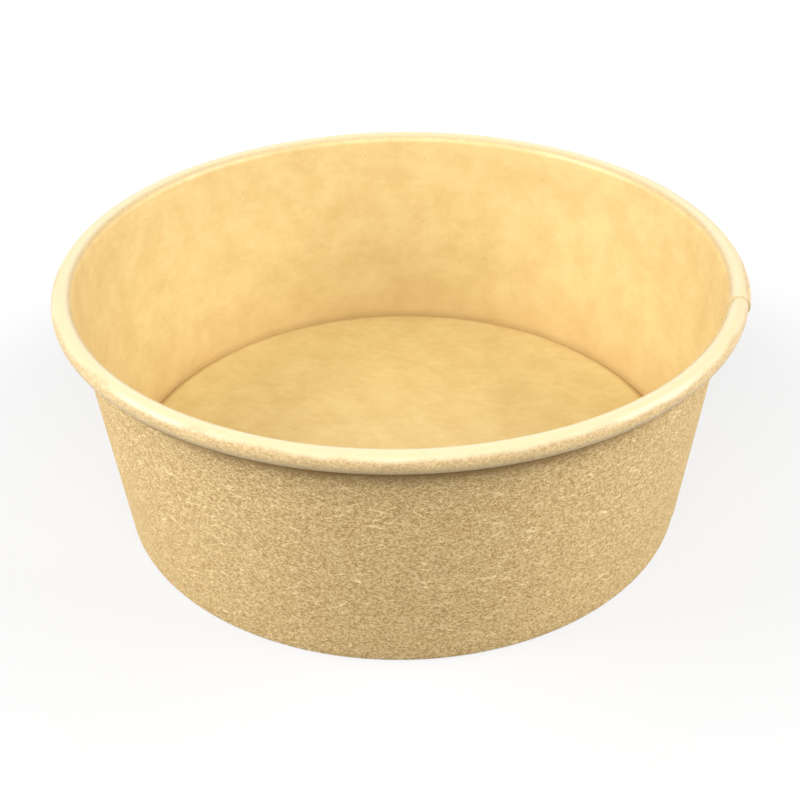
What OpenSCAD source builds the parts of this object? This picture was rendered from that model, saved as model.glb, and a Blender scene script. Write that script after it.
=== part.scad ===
// Round paper bowl: a fan-shaped board blank wrapped into a cone, with a rolled rim, a lap seam
// down one side, and a separate base disc whose skirt is held in a hem at the foot.
// Millimetres. Z is the axis, the foot stands on z = 0 and the bowl opens upwards.

/* [Bowl] */
// Diameter over the rolled rim
rim_d = 150; // [144:0.5:160]
// Diameter of the outer wall line where it reaches the table
base_d = 129.2; // [122:0.2:134]
// Height from the table to the top of the rim
bowl_h = 57.6; // [46:0.2:72]

/* [Board] */
// Thickness of the side wall board, film included
board_t = 0.42; // [0.32:0.02:0.56]
// Thickness of the base disc board, film included
base_t = 0.38; // [0.3:0.02:0.5]

/* [Rolled rim] */
// Diameter of the rim roll in section
curl_d = 4.65; // [4.2:0.05:6]
// Space between the outside of the wall and the roll that comes back to it
curl_gap = 0.12; // [0.08:0.01:0.3]
// How far the tucked paper end runs on after one full turn, in degrees
tuck_deg = 70; // [30:5:100]
// Radius of the tucked end as a share of the roll before it
tuck_share = 0.8; // [0.75:0.01:0.95]

/* [Lap seam] */
// Direction of the seam edge, in degrees from +X
seam_at = 0; // [-90:1:90]
// Width of the overlap, measured round the rim
lap_w = 9; // [5:0.5:14]
// Step that the second layer makes after pressing, as a share of the board
lap_share = 0.95; // [0.6:0.05:1]

/* [Base] */
// Height of the floor's upper face above the table
floor_h = 7.3; // [5.5:0.1:10]
// Inside radius of the bend where the disc turns down into its skirt
bend_r = 1; // [0.6:0.1:1.4]
// Height left between the hem's upper edge and the start of the disc's bend
hem_clear = 0.3; // [0.1:0.1:1]
// Space between the skirt's lower edge and the middle of the fold
skirt_gap = 0.1; // [0:0.05:0.3]
// How far the bottom of the fold is pressed flat
press = 0.05; // [0.03:0.01:0.1]

/* [Hidden] */

// Whole microns, or thousandths of a degree, so that neighbouring pieces share their corners
function micron(value) = round(value * 1000) / 1000;

// Full circle, and the facet counts of the previews
full_turn = 360;
turn_fn = 72;
roll_fn = 20;

// Roll: radius, and the place of its centre in the section
roll_r = curl_d / 2;
roll_x = rim_d / 2 - roll_r;
roll_z = bowl_h - roll_r;

// Wall: its length to the roll centre and its lean, tangent to the roll and through the foot line
run_x = roll_x - base_d / 2;
wall_side = roll_r - board_t;
wall_len = micron(sqrt(run_x * run_x + roll_z * roll_z - wall_side * wall_side));
lean = atan(run_x / roll_z) - atan(wall_side / wall_len);

// Fold at the foot: the skirt's thickness fills it, and its pressed bottom is at z = 0
fold_x = -board_t - base_t / 2;
fold_r = base_t / 2 + board_t;
fold_y = micron((fold_r - press + fold_x * sin(lean)) / cos(lean));

// Disc: outer radius of its bend, and the place of its centre in the section frame and from the axis
bend_out = bend_r + base_t;
bend_x = -board_t - bend_out;
bend_z = floor_h - bend_out;
bend_y = micron((bend_z + bend_x * sin(lean)) / cos(lean));
bend_at = base_d / 2 + bend_x * cos(lean) + bend_y * sin(lean);
skirt_len = bend_y - fold_y - skirt_gap;
hem_y = bend_y - hem_clear;

// Seam: thickness of the pressed second layer, and the angles it takes up
lap_step = micron(board_t * lap_share);
lap_deg = micron(lap_w / rim_d * full_turn / PI);

// Larger than any size of the bowl, for cutting shapes
beyond = rim_d;

// Section frame: y runs up the wall's outer face, x points out of the bowl, origin at the foot line
module wall_frame() {
  translate([base_d / 2, 0]) rotate(-lean) children();
}

// Rectangle between two places across and two places up
module upright(across, up) {
  polygon([[across[0], up[0]], [across[1], up[0]], [across[1], up[1]], [across[0], up[1]]]);
}

// Ring of the given outer radius and thickness
module ring(outer_r, thick) {
  difference() {
    circle(r = outer_r, $fn = roll_fn);
    circle(r = outer_r - thick, $fn = roll_fn);
  }
}

// Upper half turn of the roll
module roll_top(outer_r, thick) {
  intersection() {
    ring(outer_r, thick);
    upright([-beyond, beyond], [0, beyond]);
  }
}

// Lower half turn of the roll
module roll_bottom(outer_r, thick) {
  intersection() {
    ring(outer_r, thick);
    upright([-beyond, beyond], [-beyond, 0]);
  }
}

// Tucked end, which starts at the side next to the wall and runs upwards
module roll_tuck(outer_r, thick) {
  reach = curl_d * 2;
  mid_deg = full_turn / 2 - tuck_deg / 2;
  end_deg = full_turn / 2 - tuck_deg;
  intersection() {
    ring(outer_r, thick);
    polygon([
      [0, 0],
      [-reach, 0],
      [reach * cos(mid_deg), reach * sin(mid_deg)],
      [reach * cos(end_deg), reach * sin(end_deg)]
    ]);
  }
}

// Rolled rim of the given thickness, its outer radius grown by half of the second layer.
// It stays tangent to the wall's inner face and level at the top, so it grows outwards.
module roll_section(lap) {
  thick = board_t + lap;
  top_r = roll_r + lap / 2;
  under_r = top_r - (thick + curl_gap) / 2;
  tuck_r = micron(under_r * tuck_share);
  translate([top_r - board_t, wall_len - lap / 2]) {
    roll_top(top_r, thick);
    translate([top_r - under_r, 0]) roll_bottom(under_r, thick);
    translate([top_r - under_r * 2 + tuck_r, 0]) roll_tuck(tuck_r, thick);
  }
}

// Section of the side wall: wall, hem, fold and rolled rim.
// The lap is the thickness that a second layer adds.
module wall_section(lap) {
  thick = board_t + lap;
  difference() {
    wall_frame() {
      upright([-board_t, lap], [fold_y, wall_len - lap / 2]);
      upright([-board_t - base_t - thick, -board_t - base_t], [fold_y, hem_y]);
      translate([fold_x, fold_y]) roll_bottom(fold_r + lap, thick);
      roll_section(lap);
    }
    upright([0, beyond], [-beyond, 0]);
  }
}

// Section of the base disc from the axis to the skirt's lower edge, drawn round its bend
module disc_section() {
  translate([0, bend_z]) upright([0, bend_at], [bend_r, bend_out]);
  translate([bend_at, bend_z]) {
    intersection() {
      ring(bend_out, base_t);
      upright([0, beyond], [-beyond, beyond]);
      rotate(-lean) upright([-beyond, beyond], [0, beyond]);
    }
    rotate(-lean) upright([bend_r, bend_out], [-skirt_len, 0]);
  }
}

// Part of the side wall between two directions
module wall_sector(from_deg, wide_deg, lap) {
  rotate_extrude(angle = wide_deg, start = from_deg, $fn = turn_fn) wall_section(lap);
}

// Side wall: the overlap, and the single layer round the rest
module side_wall() {
  color("peru") {
    wall_sector(seam_at, lap_deg, lap_step);
    wall_sector(seam_at + lap_deg, full_turn - lap_deg, 0);
  }
}

// Base disc with its turned-down skirt
module base_disc() {
  color("burlywood") rotate_extrude($fn = turn_fn) disc_section();
}

side_wall();
base_disc();
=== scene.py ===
import math

import bpy
import numpy as np
from mathutils import Matrix, Vector


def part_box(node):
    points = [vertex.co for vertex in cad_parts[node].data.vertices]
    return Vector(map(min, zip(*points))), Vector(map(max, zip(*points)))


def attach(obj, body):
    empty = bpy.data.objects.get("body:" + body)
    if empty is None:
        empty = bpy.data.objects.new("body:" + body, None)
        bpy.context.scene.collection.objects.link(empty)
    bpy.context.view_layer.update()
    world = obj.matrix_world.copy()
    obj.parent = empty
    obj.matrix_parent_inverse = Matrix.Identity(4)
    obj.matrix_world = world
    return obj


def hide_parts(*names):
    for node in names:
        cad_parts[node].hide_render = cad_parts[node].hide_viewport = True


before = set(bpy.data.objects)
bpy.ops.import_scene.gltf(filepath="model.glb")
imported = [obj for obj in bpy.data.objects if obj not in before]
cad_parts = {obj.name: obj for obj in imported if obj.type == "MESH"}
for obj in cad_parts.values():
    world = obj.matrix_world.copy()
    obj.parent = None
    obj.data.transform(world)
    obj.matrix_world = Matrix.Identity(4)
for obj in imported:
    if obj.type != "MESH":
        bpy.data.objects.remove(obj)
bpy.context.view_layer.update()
mm = 0.001
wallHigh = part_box("side_wall")[1]
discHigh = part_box("base_disc")[1]
print("frame loaded, rim top at", round(wallHigh[2] / mm, 2), "mm")


# helpers for shapes

def smoothStep(x, low, high):
    # t runs from 0 at low to 1 at high and is held there, then 3 t^2 - 2 t^3
    t = np.clip((x - low) / (high - low), 0.0, 1.0)
    return t * t * (3.0 - 2.0 * t)


def bentBoard(centreX, centreY, coatedR, bareR, start, end, count):
    # both faces of a board bent round one centre: (cx + r cos a, cy + r sin a), with a going
    # evenly from start to end in degrees. The first step is left out, because the part before has it
    a = np.radians(np.linspace(start, end, count + 1))[None, 1:]
    return [np.stack([centreX + r * np.cos(a), centreY + r * np.sin(a)], -1) for r in (coatedR, bareR)]


def flatBoard(coatedX, bareX, startY, endY, count):
    # both faces of a straight stretch: x stays, y = start + (end - start) t for t from 0 to 1
    t = np.linspace(0.0, 1.0, count + 1)[None, 1:]
    y = startY + (endY - startY) * t
    return [np.stack([x + 0 * y, y], -1) for x in (coatedX, bareX)]


def putMesh(name, points, blocks):
    # a block holds faces with one number of corners, the UV of each corner and the slot of each face
    corners = np.concatenate([faces.reshape(-1) for faces, uv, slots in blocks])
    counts = np.concatenate([np.full(len(faces), faces.shape[1]) for faces, uv, slots in blocks])
    cornerUv = np.concatenate([uv.reshape(-1) for faces, uv, slots in blocks])
    faceSlots = np.concatenate([slots for faces, uv, slots in blocks])
    mesh = bpy.data.meshes.new(name)
    mesh.vertices.add(len(points))
    mesh.vertices.foreach_set("co", points.reshape(-1).astype(np.float32))
    mesh.loops.add(len(corners))
    mesh.loops.foreach_set("vertex_index", corners.astype(np.int32))
    mesh.polygons.add(len(counts))
    mesh.polygons.foreach_set("loop_start", (np.cumsum(counts) - counts).astype(np.int32))
    mesh.polygons.foreach_set("material_index", faceSlots.astype(np.int32))
    mesh.polygons.foreach_set("use_smooth", np.ones(len(counts), bool))
    mesh.uv_layers.new(name="board").data.foreach_set("uv", cornerUv.astype(np.float32))
    mesh.update()
    mesh.validate()
    mesh.set_sharp_from_angle(angle=math.radians(40))
    obj = bpy.data.objects.new(name, mesh)
    bpy.context.scene.collection.objects.link(obj)
    return obj


# side wall: one sheet that starts at the edge under the lap and ends at the flap that covers it

wall = {
    "rimR": round(wallHigh[1] / mm, 1),  # over the roll, all sizes in mm
    "height": round(wallHigh[2] / mm, 1),
    "footR": 64.6,  # outer wall line at the table
    "board": 0.42,
    "lapStep": 0.39,  # what the pressed second layer adds
    "skirtBoard": 0.38,  # board of the base disc, held in the fold
    "rollR": 2.325,
    "rollGap": 0.12,
    "tuckDeg": 70.0,
    "tuckShare": 0.8,
    "pressed": 0.05,
    "hemTop": 5.62,
    "lapDeg": 6.875,
    "rampDeg": 4.0,  # turn over which the flap climbs onto the layer below
    "fadeDeg": 27.0,  # turn over which the roll, swollen by two layers, dies away
    "wave": 0.05,  # unevenness of the roll, half of its full height
    "waves": [(3, 1.0, 0.4), (7, 0.7, 1.9), (17, 0.5, 0.3)],  # count round the rim, share, start
    "marks": 84,  # pressed marks round the inside of the hem
    "markDeep": 0.07,
    "coatedLow": 0.2,  # least height of the coated face over the table
    "underLow": 0.15,  # the same for the layer under the flap
    "meanR": 70.0,  # scale of U round the bowl
    "turns": 430,
    "steps": {"tuck": 9, "rollLow": 20, "rollTop": 26, "wall": 14, "fold": 12, "hem": 8},
}


def wallLine(w):
    # the outer wall line is tangent to the roll's inside and passes through the foot line:
    # length = sqrt(run^2 + rise^2 - side^2), lean = atan(run / rise) - atan(side / length)
    run = w["rimR"] - w["rollR"] - w["footR"]
    rise = w["height"] - w["rollR"]
    side = w["rollR"] - w["board"]
    length = math.sqrt(run**2 + rise**2 - side**2)
    return length, math.atan(run / rise) - math.atan(side / length)


def buildWall(w):
    t, step, skirt = w["board"], w["lapStep"], w["skirtBoard"]
    length, lean = wallLine(w)
    foldX = -t - skirt / 2
    foldY = (skirt / 2 + t - w["pressed"] + foldX * math.sin(lean)) / math.cos(lean)

    # first parameter: the turn about the axis, closer near the lap
    span = 360.0 + w["lapDeg"]
    nearStart, nearEnd = np.linspace(0.0, 8.0, 14), np.linspace(355.0, span, 26)
    turn = np.concatenate([np.linspace(0.0, span, w["turns"]), nearStart, nearEnd])
    turn = np.unique(turn.round(3))
    theta = np.radians(turn)
    under = 1.0 - smoothStep(turn, w["lapDeg"], w["lapDeg"] + w["fadeDeg"])
    over = smoothStep(turn, 360.0 - w["rampDeg"], 360.0)

    # the roll's unevenness is a sum of sines of the turn. The layer under the flap has the wider roll,
    # because the wall's outer face turns to the inside of the roll
    waves = sum(share * np.sin(count * theta + start) for count, share, start in w["waves"])
    wave = w["wave"] * (waves / sum(share for count, share, start in w["waves"]) - 1.0)
    shift = (step * over)[:, None]
    rollR = w["rollR"] + (0.5 * step * (under - over) + 0.3 * wave)[:, None]
    rollX = -t + shift + rollR
    rollY = (length - 0.5 * step * np.maximum(under, over) + wave)[:, None]
    wallFace = (w["rollGap"] + step * under + (step + t) * over)[:, None]  # where the roll comes back
    underR = (rollX + rollR - wallFace) / 2
    tuckR = underR * w["tuckShare"]

    # second parameter: the way along the board, in the frame of the leaning wall, where x points out
    # of the bowl and y runs up: tucked end, lower and upper half of the roll, wall, fold and hem
    hemY = w["hemTop"] / math.cos(lean)
    foldR = skirt / 2 + shift
    n = w["steps"]
    parts = [
        bentBoard(wallFace + tuckR, rollY, tuckR, tuckR - t, 180 - w["tuckDeg"], 180, n["tuck"]),
        bentBoard(rollX + rollR - underR, rollY, underR, underR - t, 180, 360, n["rollLow"]),
        bentBoard(rollX, rollY, rollR, rollR - t, 0, 180, n["rollTop"]),
        flatBoard(-t + shift, shift, rollY, foldY, n["wall"]),
        bentBoard(foldX, foldY + 0 * shift, foldR, foldR + t, 0, -180, n["fold"]),
        flatBoard(foldX - foldR, foldX - foldR - t, foldY, hemY + 0 * shift, n["hem"]),
    ]
    coated = np.concatenate([p[0] for p in parts], 1)
    bare = np.concatenate([p[1] for p in parts], 1)

    # pressed marks: the hem's bare face goes in by half a cosine of the turn, away from its ends
    hemCols = slice(bare.shape[1] - n["hem"] + 1, bare.shape[1] - 1)
    bare[:, hemCols, 0] += w["markDeep"] * (0.5 - 0.5 * np.cos(w["marks"] * theta))[:, None]

    # V of the UV map is the length along the board's middle, set off so that the wall starts at the same
    # V all round, also where the roll is wider or tighter. U is the turn times the mean radius
    middle = (coated + bare) / 2
    steps = np.linalg.norm(np.diff(middle, axis=1), axis=-1)
    along = np.concatenate([np.zeros((len(turn), 1)), np.cumsum(steps, 1)], 1)
    rollEnd = n["tuck"] + n["rollLow"] + n["rollTop"] - 1
    along += np.median(along[:, rollEnd]) - along[:, rollEnd:rollEnd + 1]
    section = np.concatenate([coated, bare[:, ::-1]], 1)
    along = np.concatenate([along, along[:, ::-1]], 1)

    # into the bowl: r = foot + x cos(lean) + y sin(lean), z = y cos(lean) - x sin(lean), pressed on the
    # table, then a turn about the axis
    r = w["footR"] + section[..., 0] * math.cos(lean) + section[..., 1] * math.sin(lean)
    z = section[..., 1] * math.cos(lean) - section[..., 0] * math.sin(lean)
    half = coated.shape[1]
    z[:, :half] = np.maximum(z[:, :half], w["coatedLow"])
    lowest = np.where(turn < w["lapDeg"] + 1.0, w["underLow"], 0.0)
    z[:, half:] = np.maximum(z[:, half:], lowest[:, None])
    points = np.stack([r * np.cos(theta)[:, None], r * np.sin(theta)[:, None], z], -1) * mm
    uv = np.stack([np.broadcast_to(theta[:, None] * w["meanR"], r.shape), along], -1) * mm

    # faces: one for each step of turn and section, then a cap over each end of the sheet
    rows, cols = r.shape
    index = np.arange(rows * cols).reshape(rows, cols)
    nextCol = np.roll(index, -1, 1)
    quads = np.stack([index[:-1], index[1:], nextCol[1:], nextCol[:-1]], -1).reshape(-1, 4)
    slots = np.ones(cols, int)  # 0 coated, 1 bare, 2 cut edge
    slots[:half - 1] = 0
    slots[[half - 1, -1]] = 2
    slots = np.tile(slots, rows - 1)
    caps = []
    for ring, flip in ((0, True), (rows - 1, False)):
        left, right = index[ring, :half], index[ring, ::-1][:half]
        cap = np.stack([left[:-1], right[:-1], right[1:], left[1:]], -1)
        caps.append(cap[:, ::-1] if flip else cap)
    quads = np.concatenate([quads] + caps)
    slots = np.concatenate([slots, np.full(len(quads) - len(slots), 2)])
    obj = putMesh("sideWallBoard", points.reshape(-1, 3), [(quads, uv.reshape(-1, 2)[quads], slots)])
    print("side wall", len(obj.data.polygons), "faces")
    return obj


# base disc: floor, bend and the skirt that the fold holds

disc = {
    "floorZ": round(discHigh[2] / mm, 1),
    "board": 0.38,
    "bendR": 1.0,  # inside the bend
    "skirtLow": 0.75,
    "turns": 300,
    "steps": {"floor": 24, "bend": 10, "skirt": 7},
}


def buildDisc(s, w):
    length, lean = wallLine(w)
    bendOut = s["bendR"] + s["board"]
    bendX = -w["board"] - bendOut
    bendZ = s["floorZ"] - bendOut
    bendY = (bendZ + bendX * math.sin(lean)) / math.cos(lean)
    bendAt = w["footR"] + bendX * math.cos(lean) + bendY * math.sin(lean)

    # second parameter, along each face: the floor at a constant height, the bend (R + r cos a,
    # z + r sin a), and the skirt straight down along the lean
    n = s["steps"]
    floorR = np.linspace(0.0, 1.0, n["floor"] + 1)[1:] * bendAt
    a = np.linspace(math.pi / 2, -lean, n["bend"] + 1)[1:]
    down = np.linspace(0.0, (bendZ - s["skirtLow"]) / math.cos(lean), n["skirt"] + 1)[1:]
    faces = []
    for bend in (bendOut, s["bendR"]):
        faces.append(np.concatenate([
            np.stack([floorR, np.full_like(floorR, bendZ + bend)], -1),
            np.stack([bendAt + bend * np.cos(a), bendZ + bend * np.sin(a)], -1),
            np.stack([bendAt + bend * math.cos(lean) - down * math.sin(lean),
                      bendZ - bend * math.sin(lean) - down * math.cos(lean)], -1)]))
    half = len(faces[0])
    section = np.concatenate([faces[0], faces[1][::-1]])

    # first parameter: the turn about the axis. The floor's two middles are single points
    theta = np.linspace(0.0, 2 * math.pi, s["turns"], endpoint=False)
    rows, cols = len(theta), len(section)
    points = np.stack([section[:, 0] * np.cos(theta)[:, None], section[:, 0] * np.sin(theta)[:, None],
                       np.broadcast_to(section[:, 1], (rows, cols))], -1).reshape(-1, 3)
    points = np.concatenate([points, [[0, 0, bendZ + bendOut], [0, 0, bendZ + s["bendR"]]]]) * mm
    uv = points[:, :2]
    index = np.arange(rows * cols).reshape(rows, cols)
    nextRow = np.roll(index, -1, 0)
    quads = np.stack([index[:, :-1], index[:, 1:], nextRow[:, 1:], nextRow[:, :-1]], -1).reshape(-1, 4)
    slots = np.ones(cols - 1, int)  # 0 coated, 1 bare, 2 cut edge
    slots[:half - 1] = 0
    slots[half - 1] = 2
    top = np.stack([np.full(rows, rows * cols), index[:, 0], nextRow[:, 0]], -1)
    low = np.stack([np.full(rows, rows * cols + 1), nextRow[:, -1], index[:, -1]], -1)
    fans = np.concatenate([top, low])
    fanSlots = np.repeat([0, 1], rows)
    blocks = [(quads, uv[quads], np.tile(slots, rows)), (fans, uv[fans], fanSlots)]
    obj = putMesh("baseDiscBoard", points, blocks)
    print("base disc", len(obj.data.polygons), "faces")
    return obj


# shader groups

def newGroup(name, ins, outs):
    tree = bpy.data.node_groups.new(name, "ShaderNodeTree")
    for label, kind, value in ins:
        sock = tree.interface.new_socket(label, in_out="INPUT", socket_type=kind)
        if value is not None:
            sock.default_value = value
    for label, kind in outs:
        tree.interface.new_socket(label, in_out="OUTPUT", socket_type=kind)
    return tree, tree.nodes.new("NodeGroupInput"), tree.nodes.new("NodeGroupOutput")


def addNode(tree, kind, **values):
    node = tree.nodes.new(kind)
    for key, value in values.items():
        setattr(node, key, value)
    return node


def mathNode(tree, operation, a, b=None, clamp=False):
    node = addNode(tree, "ShaderNodeMath", operation=operation, use_clamp=clamp)
    for sock, value in zip(node.inputs, (a, b)):
        if value is None:
            continue
        if isinstance(value, (int, float)):
            sock.default_value = value
        else:
            tree.links.new(value, sock)
    return node.outputs[0]


def turnedVector(tree, vector, deg, place, size):
    # the pattern's own axes: turned, set off and drawn out to the given length and width in mm
    turn = addNode(tree, "ShaderNodeMapping", vector_type="TEXTURE")
    turn.inputs["Rotation"].default_value = (0, 0, math.radians(deg))
    turn.inputs["Location"].default_value = (place * mm, place * 0.37 * mm, 0)
    turn.inputs["Scale"].default_value = (size[0] * mm, size[1] * mm, 1)
    tree.links.new(vector, turn.inputs["Vector"])
    return turn.outputs[0]


strandNoise = {"Scale": 1.0, "Detail": 0.5, "Roughness": 0.5, "Distortion": 0.5}
strandEdge = 9.0  # how sharply a strand breaks off


def strandMask(tree, vector, deg, place, form):
    # a strand lies where one noise crosses its middle, broken up where a second one is low
    size, width, cut = form
    noise = addNode(tree, "ShaderNodeTexNoise", noise_dimensions="2D")
    for label, value in strandNoise.items():
        noise.inputs[label].default_value = value
    tree.links.new(turnedVector(tree, vector, deg, place, size), noise.inputs["Vector"])
    both = addNode(tree, "ShaderNodeSeparateColor")
    tree.links.new(noise.outputs["Color"], both.inputs[0])
    off = mathNode(tree, "ABSOLUTE", mathNode(tree, "SUBTRACT", both.outputs[0], 0.5))
    line = mathNode(tree, "MULTIPLY", mathNode(tree, "SUBTRACT", width, off), 2.0 / width, clamp=True)
    above = mathNode(tree, "SUBTRACT", both.outputs[1], cut)
    part = mathNode(tree, "MULTIPLY", above, strandEdge, clamp=True)
    return mathNode(tree, "MULTIPLY", line, part)


def buildFibreGroup():
    # pale and dark strands at many angles, and a few long pale fibres over them
    outs = [(label, "NodeSocketFloat") for label in ("Light", "Dark", "Long")]
    tree, gIn, gOut = newGroup("kraftFibre", [("Vector", "NodeSocketVector", None)], outs)
    plans = {  # angle and offset of each layer
        "Light": [(3, 310), (-19, 770), (24, 520), (-46, 1130), (57, 1490)],
        "Dark": [(-9, 940), (28, 1260), (-38, 1510), (75, 1810)],
        "Long": [(14, 2100), (-24, 2550)],
    }
    forms = {  # length and width of the noise in mm, half width of the line, cut of the breaks
        "Light": ((1.05, 0.37), 0.085, 0.50),
        "Dark": ((0.80, 0.35), 0.090, 0.51),
        "Long": ((4.6, 1.1), 0.032, 0.60),
    }
    for key, plan in plans.items():
        total = None
        for deg, place in plan:
            mask = strandMask(tree, gIn.outputs["Vector"], deg, place, forms[key])
            total = mask if total is None else mathNode(tree, "MAXIMUM", total, mask)
        tree.links.new(total, gOut.inputs[key])
    return tree


def buildSpeckGroup():
    # small round specks: 1 within Size of a few of the scattered cell points, 0 elsewhere
    ins = [("Vector", "NodeSocketVector", None), ("Cells", "NodeSocketFloat", 120.0),
           ("Size", "NodeSocketFloat", 0.03), ("Share", "NodeSocketFloat", 0.4)]
    tree, gIn, gOut = newGroup("boardSpeck", ins, [("Value", "NodeSocketFloat")])
    cells = addNode(tree, "ShaderNodeTexVoronoi", voronoi_dimensions="2D")
    tree.links.new(gIn.outputs["Vector"], cells.inputs["Vector"])
    tree.links.new(gIn.outputs["Cells"], cells.inputs["Scale"])
    chance = addNode(tree, "ShaderNodeSeparateColor")
    tree.links.new(cells.outputs["Color"], chance.inputs[0])
    near = mathNode(tree, "LESS_THAN", cells.outputs["Distance"], gIn.outputs["Size"])
    chosen = mathNode(tree, "LESS_THAN", chance.outputs[0], gIn.outputs["Share"])
    tree.links.new(mathNode(tree, "MULTIPLY", near, chosen), gOut.inputs["Value"])
    return tree


def buildStreakGroup():
    # noise drawn out to a width round the bowl and a length up the board, both in mm, 0 to 1
    ins = [("Vector", "NodeSocketVector", None), ("Width", "NodeSocketFloat", 1.5),
           ("Length", "NodeSocketFloat", 9.0)]
    tree, gIn, gOut = newGroup("boardStreak", ins, [("Value", "NodeSocketFloat")])
    sizes = addNode(tree, "ShaderNodeCombineXYZ")
    tree.links.new(mathNode(tree, "DIVIDE", 1.0 / mm, gIn.outputs["Width"]), sizes.inputs["X"])
    tree.links.new(mathNode(tree, "DIVIDE", 1.0 / mm, gIn.outputs["Length"]), sizes.inputs["Y"])
    scaled = addNode(tree, "ShaderNodeVectorMath", operation="MULTIPLY")
    tree.links.new(gIn.outputs["Vector"], scaled.inputs[0])
    tree.links.new(sizes.outputs[0], scaled.inputs[1])
    noise = addNode(tree, "ShaderNodeTexNoise", noise_dimensions="2D")
    for label, value in (("Scale", 1.0), ("Detail", 2.0), ("Roughness", 0.55), ("Distortion", 0.2)):
        noise.inputs[label].default_value = value
    tree.links.new(scaled.outputs[0], noise.inputs["Vector"])
    tree.links.new(noise.outputs["Fac"], gOut.inputs["Value"])
    return tree


def buildMottleGroup():
    # soft cloudy patches, 0 to 1, centred on a half
    ins = [("Vector", "NodeSocketVector", None), ("Patches", "NodeSocketFloat", 140.0)]
    tree, gIn, gOut = newGroup("boardMottle", ins, [("Value", "NodeSocketFloat")])
    noise = addNode(tree, "ShaderNodeTexNoise")
    noise.inputs["Detail"].default_value = 3.0
    noise.inputs["Roughness"].default_value = 0.5
    tree.links.new(gIn.outputs["Vector"], noise.inputs["Vector"])
    tree.links.new(gIn.outputs["Patches"], noise.inputs["Scale"])
    tree.links.new(noise.outputs["Fac"], gOut.inputs["Value"])
    return tree


def pick(node, name, kind):
    return [s for s in node.inputs if s.name == name and s.type == kind][0]


def mixColours(tree, factor, a, b):
    node = addNode(tree, "ShaderNodeMix", data_type="RGBA")
    sockets = (node.inputs[0], pick(node, "A", "RGBA"), pick(node, "B", "RGBA"))
    for sock, value in zip(sockets, (factor, a, b)):
        if isinstance(value, bpy.types.NodeSocket):
            tree.links.new(value, sock)
        else:
            sock.default_value = value
    return [o for o in node.outputs if o.type == "RGBA"][0]


def mapRange(tree, value, lowIn, highIn, lowOut, highOut):
    node = addNode(tree, "ShaderNodeMapRange")
    tree.links.new(value, node.inputs["Value"])
    labels = ("From Min", "From Max", "To Min", "To Max")
    for label, number in zip(labels, (lowIn, highIn, lowOut, highOut)):
        node.inputs[label].default_value = number
    return node.outputs["Result"]


# materials

paper = {  # colours of the bare board, of the film and of the roll, with painted light and shade among them
    "kraftLow": (0.398, 0.244, 0.085, 1),
    "kraftHigh": (0.490, 0.318, 0.119, 1),
    "kraftLight": (0.90, 0.72, 0.40, 1),
    "kraftDark": (0.25, 0.145, 0.048, 1),
    "kraftBrown": (0.40, 0.235, 0.095, 1),
    "filmLow": (0.565, 0.406, 0.174, 1),
    "filmHigh": (0.632, 0.483, 0.224, 1),
    "filmFleck": (0.36, 0.22, 0.07, 1),
    # tone of the painted shade low on the inside wall
    "filmShadeTone": (0.56, 0.355, 0.135, 1),
    "floorLow": (0.560, 0.402, 0.160, 1),
    "floorHigh": (0.627, 0.480, 0.208, 1),
    # painted light deep in the fold of wall and floor
    "foldPaintedLight": (0.82, 0.58, 0.25, 1),
    "rollBeige": (0.40, 0.275, 0.125, 1),
    "rollUnder": (0.53, 0.390, 0.190, 1),
    # painted highlight on the roll's top, laid in as a pale colour
    "rollPaintedHighlight": (0.54, 0.455, 0.275, 1),
    "cut": (0.60, 0.48, 0.28, 1),
}
cutRoughness = 0.85

# where wall and floor meet: the way along the wall board from the tucked end to the floor's height is
# the tuck, two half turns of the roll and the wall above the floor; the floor is flat to its bend
wallLength, wallLean = wallLine(wall)
underRoll = wall["rollR"] - (wall["board"] + wall["rollGap"]) / 2
rollWay = math.radians(wall["tuckDeg"]) * (underRoll * wall["tuckShare"] - wall["board"] / 2)
rollWay += math.pi * (underRoll + wall["rollR"] - wall["board"])
wallToFloor = rollWay + wallLength - disc["floorZ"] / math.cos(wallLean)
bendOver = disc["bendR"] + disc["board"]
floorToBend = wall["footR"] + (disc["floorZ"] - bendOver) * math.tan(wallLean) - wall["board"] - bendOver
print("the floor is", round(wallToFloor, 1), "mm along the wall board")

# zones by the way along the wall from the tucked end, or out from the floor's middle, in mm
zones = {
    "filmEnd": (13.2, 12.2),  # the film's full colour gives way to the roll's own beige tones
    # edges of the painted highlight, a pale band along the roll
    "highlightInner": (12.7, 11.7),
    "highlightOuter": (9.5, 8.6),
    "beigeEnd": (8.8, 6.6),  # towards its underside the roll is lighter again
    "underRollShade": (23.0, 18.8),  # painted shade on the bare board close under the roll
    # painted shade, warmer and darker down the inside wall towards the floor
    "lowWallShade": (wallToFloor - 22.0, wallToFloor),
    "foldShadeWallZone": (wallToFloor - 1.6, wallToFloor + 0.1),  # painted shade, brown, at the fold of wall and floor
    "wallFold": (wallToFloor + 0.1, wallToFloor + 0.7),  # painted light, a lighter tone deep in the fold
    # painted shade, brown, on the floor's edge at the fold
    "foldShadeFloorZone": (floorToBend - 0.9, floorToBend + 0.1),
    # painted light deep in the fold, on the floor's side
    "floorFold": (floorToBend + 0.8, floorToBend + 1.3),
}


def startMaterial(name):
    material = bpy.data.materials.new(name)
    material.use_nodes = True
    tree = material.node_tree
    return material, tree, tree.nodes["Principled BSDF"]


def groupNode(tree, group, vector, **values):
    node = addNode(tree, "ShaderNodeGroup", node_tree=group)
    tree.links.new(vector, node.inputs["Vector"])
    for label, value in values.items():
        node.inputs[label].default_value = value
    return node


def scaledBy(tree, value, factor):
    return mathNode(tree, "MULTIPLY", value, factor)


def streakValue(tree, groups, uv, size):
    return groupNode(tree, groups["streak"], uv, Width=size[0], Length=size[1]).outputs["Value"]


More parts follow.
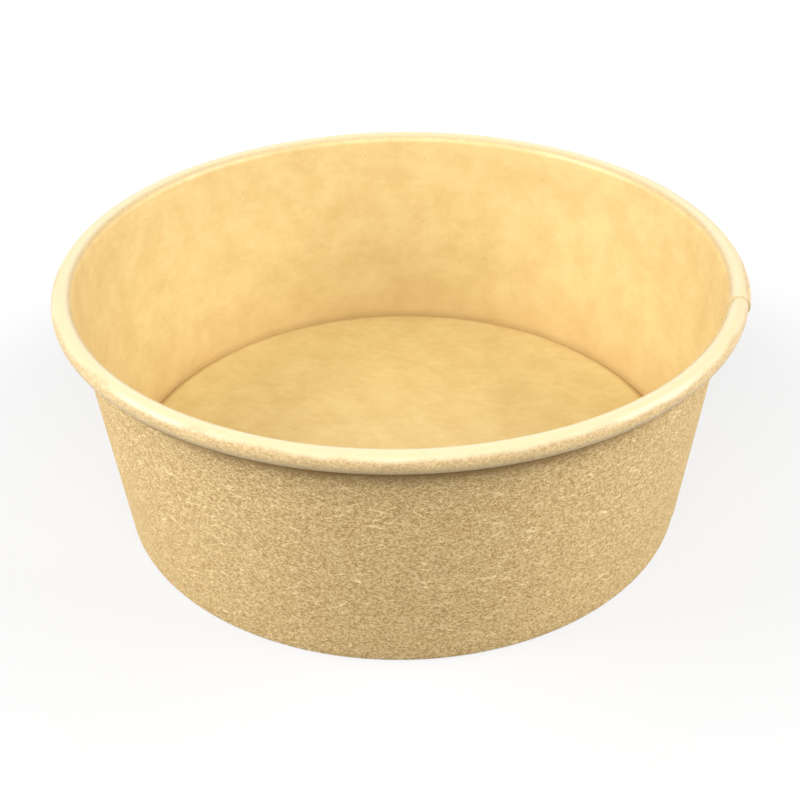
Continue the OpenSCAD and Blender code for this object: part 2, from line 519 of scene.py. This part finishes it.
def bandMask(tree, way, zone):
    return mapRange(tree, way, *(v * mm for v in zones[zone]), 0.0, 1.0)


def blend(tree, base, mask, share, colour):
    # the colour laid over the base by the mask, as far as its share
    return mixColours(tree, scaledBy(tree, mask, share), base, paper[colour])


def finishFace(tree, bsdf, base, height, look):
    tree.links.new(base, bsdf.inputs["Base Color"])
    bsdf.inputs["Roughness"].default_value = look["roughness"]
    bsdf.inputs["Specular IOR Level"].default_value = look["specular"]
    bump = addNode(tree, "ShaderNodeBump")
    bump.inputs["Strength"].default_value = look["bump"]
    bump.inputs["Distance"].default_value = look["bumpDeep"] * mm
    tree.links.new(height, bump.inputs["Height"])
    tree.links.new(bump.outputs["Normal"], bsdf.inputs["Normal"])


kraftLook = {  # sizes are width round the bowl and length up the board, in mm
    "patches": 260.0,
    "patchRange": (0.25, 0.75),
    "streakSize": (1.6, 16.0),
    "streakRange": (0.56, 0.74),
    "streak": 0.45,
    "dark": 0.40,  # shares of the strands
    "light": 0.58,
    "long": 0.70,
    # share of the painted shade under the roll
    "underRollShade": 0.90,
    "reliefSize": (0.35, 0.25),
    "roughness": 0.8,
    "specular": 0.25,
    "bump": 0.4,
    "bumpDeep": 0.06,
}


def buildBareKraft(groups, onWall):
    material, tree, bsdf = startMaterial("bareKraftWall" if onWall else "bareKraftBase")
    look = kraftLook
    uv = addNode(tree, "ShaderNodeUVMap", uv_map="board").outputs["UV"]
    fibre = groupNode(tree, groups["fibre"], uv)
    patches = groupNode(tree, groups["mottle"], uv, Patches=look["patches"]).outputs["Value"]
    tone = mapRange(tree, patches, *look["patchRange"], 0.0, 1.0)
    base = mixColours(tree, tone, paper["kraftLow"], paper["kraftHigh"])
    streak = streakValue(tree, groups, uv, look["streakSize"])
    streak = mapRange(tree, streak, *look["streakRange"], 0.0, 1.0)
    base = blend(tree, base, streak, look["streak"], "kraftBrown")
    base = blend(tree, base, fibre.outputs["Dark"], look["dark"], "kraftDark")
    base = blend(tree, base, fibre.outputs["Light"], look["light"], "kraftLight")
    base = blend(tree, base, fibre.outputs["Long"], look["long"], "kraftLight")
    if onWall:
        along = addNode(tree, "ShaderNodeSeparateXYZ")
        tree.links.new(uv, along.inputs[0])
        # painted shade, darker close under the roll
        underRollShade = bandMask(tree, along.outputs["Y"], "underRollShade")
        base = blend(tree, base, mathNode(tree, "MULTIPLY", underRollShade, underRollShade), look["underRollShade"], "kraftDark")
    finishFace(tree, bsdf, base, streakValue(tree, groups, uv, look["reliefSize"]), look)
    return material


filmLook = {
    "patches": 120.0,
    "patchShare": 0.7,  # the rest of the tone comes from the streaks
    "streakSize": (3.2, 2.0),
    "toneRange": (0.36, 0.64),
    "grainSize": (0.9, 0.35),
    "grainRange": (0.5, 0.8),
    "grain": 0.14,
    "specks": {"Cells": 60.0, "Size": 0.016, "Share": 0.40},
    "speck": 0.45,
    "wanderSize": (14.0, 60.0),
    "wander": 3.2,  # how far the roll's beige edge goes up and down, in mm
    "rollDark": 0.34,
    "rollLight": 0.26,
    # share of the painted highlight on the roll
    "rollPaintedHighlight": 0.9,
    # share of the painted shade low on the inside wall
    "lowWallShade": 0.4,
    "foldShadeWallShare": 0.22,  # painted brown shade where wall and floor meet, on the wall and on the floor
    "foldShadeFloorShare": 0.72,
    "roughness": 0.42,
    "specular": 0.3,
    "coat": 0.2,
    "coatRoughness": 0.3,
    "bump": 0.15,
    "bumpDeep": 0.04,
}


def buildRoll(tree, groups, uv, way, base):
    # the film on the roll: a pale band that is a painted highlight, and a speckled beige one with a
    # wandering edge
    look = filmLook
    fibre = groupNode(tree, groups["fibre"], uv)
    wander = mathNode(tree, "SUBTRACT", streakValue(tree, groups, uv, look["wanderSize"]), 0.5)
    place = mathNode(tree, "ADD", way, scaledBy(tree, wander, look["wander"] * mm))
    rough = mixColours(tree, bandMask(tree, place, "beigeEnd"), paper["rollBeige"], paper["rollUnder"])
    rough = blend(tree, rough, fibre.outputs["Dark"], look["rollDark"], "kraftDark")
    rough = blend(tree, rough, fibre.outputs["Light"], look["rollLight"], "kraftLight")
    base = mixColours(tree, bandMask(tree, way, "filmEnd"), base, rough)
    # painted highlight: a pale band between its two edges
    pale = mathNode(tree, "SUBTRACT", bandMask(tree, way, "highlightInner"), bandMask(tree, place, "highlightOuter"))
    return blend(tree, base, pale, look["rollPaintedHighlight"], "rollPaintedHighlight")


def buildFilmFace(groups, onWall):
    material, tree, bsdf = startMaterial("filmWall" if onWall else "filmFloor")
    look = filmLook
    uv = addNode(tree, "ShaderNodeUVMap", uv_map="board").outputs["UV"]
    patches = groupNode(tree, groups["mottle"], uv, Patches=look["patches"]).outputs["Value"]
    streak = streakValue(tree, groups, uv, look["streakSize"])
    tone = mathNode(tree, "ADD", scaledBy(tree, patches, look["patchShare"]),
                    scaledBy(tree, streak, 1.0 - look["patchShare"]))
    tone = mapRange(tree, tone, *look["toneRange"], 0.0, 1.0)
    low, high = ("filmLow", "filmHigh") if onWall else ("floorLow", "floorHigh")
    base = mixColours(tree, tone, paper[low], paper[high])
    grain = streakValue(tree, groups, uv, look["grainSize"])
    fleck = mapRange(tree, grain, *look["grainRange"], 0.0, 1.0)
    base = blend(tree, base, fleck, look["grain"], "filmFleck")
    speck = groupNode(tree, groups["speck"], uv, **look["specks"]).outputs["Value"]
    base = blend(tree, base, speck, look["speck"], "filmFleck")
    if onWall:
        along = addNode(tree, "ShaderNodeSeparateXYZ")
        tree.links.new(uv, along.inputs[0])
        way = along.outputs["Y"]
        base = buildRoll(tree, groups, uv, way, base)
        # painted shade: the inside wall darker and warmer towards the floor
        lowWallShade = bandMask(tree, way, "lowWallShade")
        base = blend(tree, base, mathNode(tree, "MULTIPLY", lowWallShade, lowWallShade), look["lowWallShade"], "filmShadeTone")
        # painted shade, brown, just above the fold
        base = blend(tree, base, bandMask(tree, way, "foldShadeWallZone"), look["foldShadeWallShare"], "filmFleck")
        # painted light deep in the fold
        base = mixColours(tree, bandMask(tree, way, "wallFold"), base, paper["foldPaintedLight"])
    else:
        away = addNode(tree, "ShaderNodeVectorMath", operation="LENGTH")
        tree.links.new(uv, away.inputs[0])
        way = away.outputs["Value"]
        # painted shade, brown, on the floor's edge by the fold
        base = blend(tree, base, bandMask(tree, way, "foldShadeFloorZone"), look["foldShadeFloorShare"], "filmFleck")
        # painted light deep in the fold
        base = mixColours(tree, bandMask(tree, way, "floorFold"), base, paper["foldPaintedLight"])
    bsdf.inputs["Coat Weight"].default_value = look["coat"]
    bsdf.inputs["Coat Roughness"].default_value = look["coatRoughness"]
    finishFace(tree, bsdf, base, grain, look)
    return material


def buildCutEdge():
    material, tree, bsdf = startMaterial("cutEdge")
    bsdf.inputs["Base Color"].default_value = paper["cut"]
    bsdf.inputs["Roughness"].default_value = cutRoughness
    return material


# stage, light and camera

stage = {
    "world": 0.03,  # light from all round
    "lamps": {  # place in metres, side of the square in metres, power in watts
        "leftBox": ((-0.60, -0.10, 0.40), 0.45, 7.0),
        "rightBox": ((0.60, -0.10, 0.40), 0.45, 6.0),
        "frontBox": ((0.00, -0.56, 0.60), 0.60, 6.2),
        "backBox": ((0.00, 0.60, 0.40), 0.45, 1.0),
    },
    "aimHigh": 0.03,  # the lamps look at this height on the axis
    "floorHalf": 3.0,
    "floorDrop": 0.00005,  # keeps the floor clear of the foot
    "floorRoughness": 0.9,
    "floorSpecular": 0.1,
    "floorBounce": 0.23,  # floor tone that lights the object
    "floorSeen": 0.16,  # floor tone that the background's rays see, with the shadow on it
    "glowNear": 0.67,  # added for those rays only, at the object and far from it
    "glowFar": 1.0,
    "glowFrom": 0.11,  # metres from the axis
    "glowTo": 0.30,
    "turned": 15.0,  # the picture's front lies this far round from -Y, so that the seam sits at +X
}


def seenRays(tree):
    # 1 for the rays that show the background: the camera's, and those of shine and glass
    path = addNode(tree, "ShaderNodeLightPath")
    shine = mathNode(tree, "MAXIMUM", path.outputs["Is Glossy Ray"], path.outputs["Is Transmission Ray"])
    return mathNode(tree, "MAXIMUM", path.outputs["Is Camera Ray"], shine)


def turned(place):
    return Matrix.Rotation(math.radians(stage["turned"]), 3, "Z") @ Vector(place)


def buildStage(s):
    world = bpy.data.worlds.new("paleWorld")
    world.use_nodes = True
    tree = world.node_tree
    lit, seen = tree.nodes["Background"], addNode(tree, "ShaderNodeBackground")
    for background in (lit, seen):
        background.inputs["Color"].default_value = (1, 1, 1, 1)
    lit.inputs["Strength"].default_value = s["world"]
    mix = addNode(tree, "ShaderNodeMixShader")
    tree.links.new(seenRays(tree), mix.inputs[0])
    tree.links.new(lit.outputs[0], mix.inputs[1])
    tree.links.new(seen.outputs[0], mix.inputs[2])
    tree.links.new(mix.outputs[0], tree.nodes["World Output"].inputs["Surface"])
    bpy.context.scene.world = world

    mesh = bpy.data.meshes.new("floorPlane")
    h = s["floorHalf"]
    mesh.from_pydata([(-h, -h, 0), (h, -h, 0), (h, h, 0), (-h, h, 0)], [], [(0, 1, 2, 3)])
    floor = bpy.data.objects.new("floorPlane", mesh)
    floor.location.z = -s["floorDrop"]
    bpy.context.scene.collection.objects.link(floor)
    material, tree, bsdf = startMaterial("paleFloor")
    bsdf.inputs["Roughness"].default_value = s["floorRoughness"]
    bsdf.inputs["Specular IOR Level"].default_value = s["floorSpecular"]
    bsdf.inputs["Emission Color"].default_value = (1, 1, 1, 1)
    seen = seenRays(tree)
    tone = mapRange(tree, seen, 0.0, 1.0, s["floorBounce"], s["floorSeen"])
    tree.links.new(tone, bsdf.inputs["Base Color"])
    coords = addNode(tree, "ShaderNodeTexCoord")
    away = addNode(tree, "ShaderNodeVectorMath", operation="LENGTH")
    tree.links.new(coords.outputs["Object"], away.inputs[0])
    distances, strengths = (s["glowFrom"], s["glowTo"]), (s["glowNear"], s["glowFar"])
    far = mapRange(tree, away.outputs["Value"], *distances, *strengths)
    glow = mathNode(tree, "MULTIPLY", seen, far)
    tree.links.new(glow, bsdf.inputs["Emission Strength"])
    mesh.materials.append(material)

    for name, (place, size, power) in s["lamps"].items():
        lamp = bpy.data.lights.new(name, "AREA")
        lamp.shape = "SQUARE"
        lamp.size = size
        lamp.energy = power
        obj = bpy.data.objects.new(name, lamp)
        obj.location = turned(place)
        aim = Vector((0, 0, s["aimHigh"])) - obj.location
        obj.rotation_euler = aim.to_track_quat("-Z", "Y").to_euler()
        bpy.context.scene.collection.objects.link(obj)
    print("stage with", len(s["lamps"]), "lamps")


view = {
    "place": (0.0, -264.44, 193.455),  # mm, before the stage's turn
    "pitch": 0.5787,  # angles in radians
    "yaw": -0.0012,
    "roll": 0.0150,
    "lens": 60.84,
    "sensor": 36.0,
    "clipStart": 0.01,
}


def buildCamera(s):
    # ahead = (sin yaw cos pitch, cos yaw cos pitch, -sin pitch), then the roll about it
    yaw = s["yaw"] - math.radians(stage["turned"])
    cy, sy, cp, sp = math.cos(yaw), math.sin(yaw), math.cos(s["pitch"]), math.sin(s["pitch"])
    ahead = Vector((sy * cp, cy * cp, -sp))
    right = Vector((cy, -sy, 0.0))
    down = ahead.cross(right)
    tiltRight = right * math.cos(s["roll"]) + down * math.sin(s["roll"])
    up = -(down * math.cos(s["roll"]) - right * math.sin(s["roll"]))
    camera = bpy.data.cameras.new("photoCamera")
    camera.lens = s["lens"]
    camera.sensor_width = s["sensor"]
    camera.clip_start = s["clipStart"]
    obj = bpy.data.objects.new("photoCamera", camera)
    turn = Matrix((tiltRight, up, -ahead)).transposed().to_4x4()
    obj.matrix_world = Matrix.Translation(turned(s["place"]) * mm) @ turn
    bpy.context.scene.collection.objects.link(obj)
    bpy.context.scene.camera = obj
    print("camera", [round(v, 3) for v in obj.location])


# putting it together

wallPiece = buildWall(wall)
discPiece = buildDisc(disc, wall)
groups = {"fibre": buildFibreGroup(), "mottle": buildMottleGroup(), "streak": buildStreakGroup(),
          "speck": buildSpeckGroup()}
cutEdge = buildCutEdge()
for piece, node, slot in ((wallPiece, "side_wall", "kraft_wall"), (discPiece, "base_disc", "kraft_base")):
    onWall = piece is wallPiece
    for material in (buildFilmFace(groups, onWall), buildBareKraft(groups, onWall), cutEdge):
        piece.data.materials.append(material)
    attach(piece, "root")
    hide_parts(node)
print("materials on both boards")
buildStage(stage)
buildCamera(view)
bpy.context.scene.view_settings.view_transform = "Standard"
